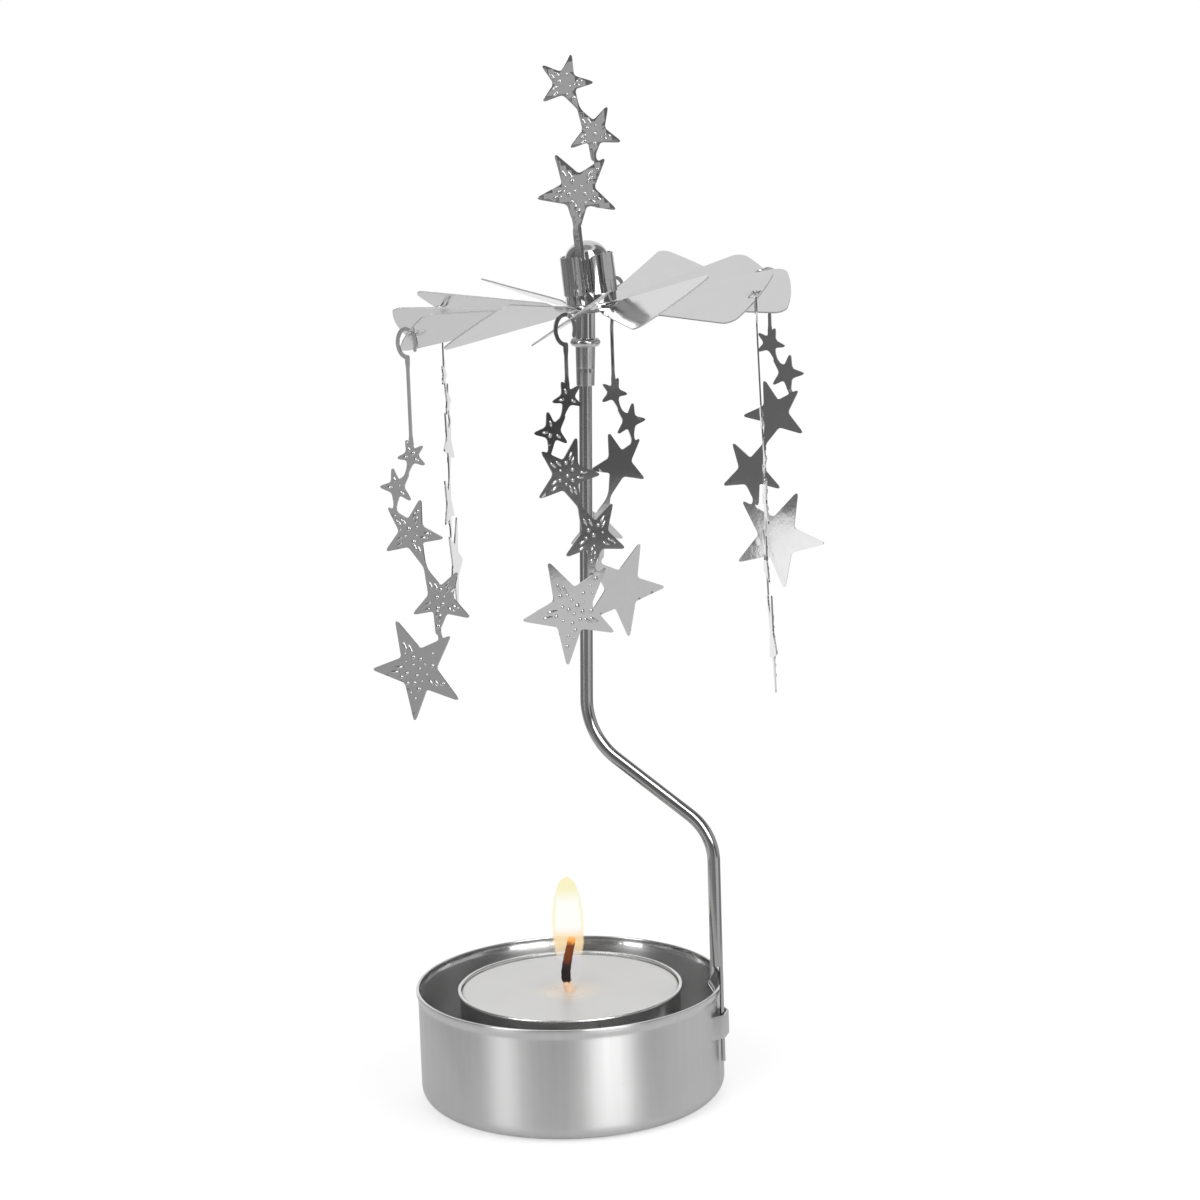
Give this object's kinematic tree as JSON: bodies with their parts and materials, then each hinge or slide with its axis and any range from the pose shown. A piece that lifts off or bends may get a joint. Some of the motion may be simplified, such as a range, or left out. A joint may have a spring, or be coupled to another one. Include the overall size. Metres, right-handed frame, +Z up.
{
  "type": "rotating candle holder",
  "caption": "Pressed metal tealight cup with a clipped-on bent stem; a vaned fan turns on the stem's needle in the flame's warm air and carries hanging star charms.",
  "frame": {"origin": "middle of the candle cup's flat underside, on the cup's own axis", "axes": "+Z up along the cup's axis; the picture looks along +Y, so the front is towards -Y and the stem's clip is on the +X side, 17 degrees towards the front"},
  "size_m": [0.0745, 0.072, 0.1719],
  "materials": {
    "cup_steel": "satin, with faint drawing marks",
    "stem_steel": "polished tube rolled from strip",
    "bright_steel": "mirror bright",
    "needle_steel": "ground needle",
    "fan_sheet": "mirror-bright thin sheet with light handling marks",
    "charm_sheet": "bright thin sheet, outer face embossed with dots and dashes",
    "foil": "plain drawn foil",
    "wax": "smooth white candle wax with a melted pool",
    "cotton": "burnt cotton wick"
  },
  "bodies": {
    "base": {"candle_cup": "cup_steel"},
    "stem_assembly": {"stem": "stem_steel", "needle_sleeve": "bright_steel", "needle": "needle_steel"},
    "bearing": {"bearing_cap": "bright_steel"},
    "rotor": {"fan": "fan_sheet", "crown_clip": "bright_steel"},
    "finial": {"star_finial": "charm_sheet"},
    "charm_1": {"star_charm_1": "charm_sheet"},
    "charm_2": {"star_charm_2": "charm_sheet"},
    "charm_3": {"star_charm_3": "charm_sheet"},
    "charm_4": {"star_charm_4": "charm_sheet"},
    "charm_5": {"star_charm_5": "charm_sheet"},
    "charm_6": {"star_charm_6": "charm_sheet"},
    "tealight": {"tealight_cup": "foil", "tealight_wax": "wax", "wick_sustainer": "foil", "wick": "cotton"}
  },
  "joints": [
    {"name": "stem_lift", "type": "slide", "parent": "base", "child": "stem_assembly", "axis": [0, 0, 1], "range_m": [0, 0.012]},
    {"name": "rotor_spin", "type": "hinge", "parent": "stem_assembly", "child": "bearing", "pos_m": [0.00667, -0.00204, 0.142], "axis": [0, 0, 1], "continuous": true},
    {"name": "fan_lift", "type": "slide", "parent": "bearing", "child": "rotor", "axis": [-0.0837, 0, 0.9965], "range_m": [0, 0.01]},
    {"name": "finial_lift", "type": "slide", "parent": "rotor", "child": "finial", "axis": [-0.0837, 0, 0.9965], "range_m": [0, 0.007]},
    {"name": "charm_1_swing", "type": "hinge", "parent": "rotor", "child": "charm_1", "pos_m": [0.03649, 0.00985, 0.13552], "axis": [-0.866, 0.5, 0], "range_deg": [-20, 20]},
    {"name": "charm_2_swing", "type": "hinge", "parent": "rotor", "child": "charm_2", "pos_m": [0.0117, 0.02917, 0.13344], "axis": [-0.866, -0.5, 0], "range_deg": [-20, 20]},
    {"name": "charm_3_swing", "type": "hinge", "parent": "rotor", "child": "charm_3", "pos_m": [-0.01739, 0.01728, 0.13118], "axis": [0, -1, 0], "range_deg": [-20, 20]},
    {"name": "charm_4_swing", "type": "hinge", "parent": "rotor", "child": "charm_4", "pos_m": [-0.02158, -0.01393, 0.12992], "axis": [0.866, -0.5, 0], "range_deg": [-20, 20]},
    {"name": "charm_5_swing", "type": "hinge", "parent": "rotor", "child": "charm_5", "pos_m": [0.00312, -0.03325, 0.13304], "axis": [0.866, 0.5, 0], "range_deg": [-20, 20]},
    {"name": "charm_6_swing", "type": "hinge", "parent": "rotor", "child": "charm_6", "pos_m": [0.03228, -0.02136, 0.13444], "axis": [0, 1, 0], "range_deg": [-20, 20]},
    {"name": "tealight_lift", "type": "slide", "parent": "base", "child": "tealight", "axis": [0, 0, 1], "range_m": [0, 0.02]}
  ]
}
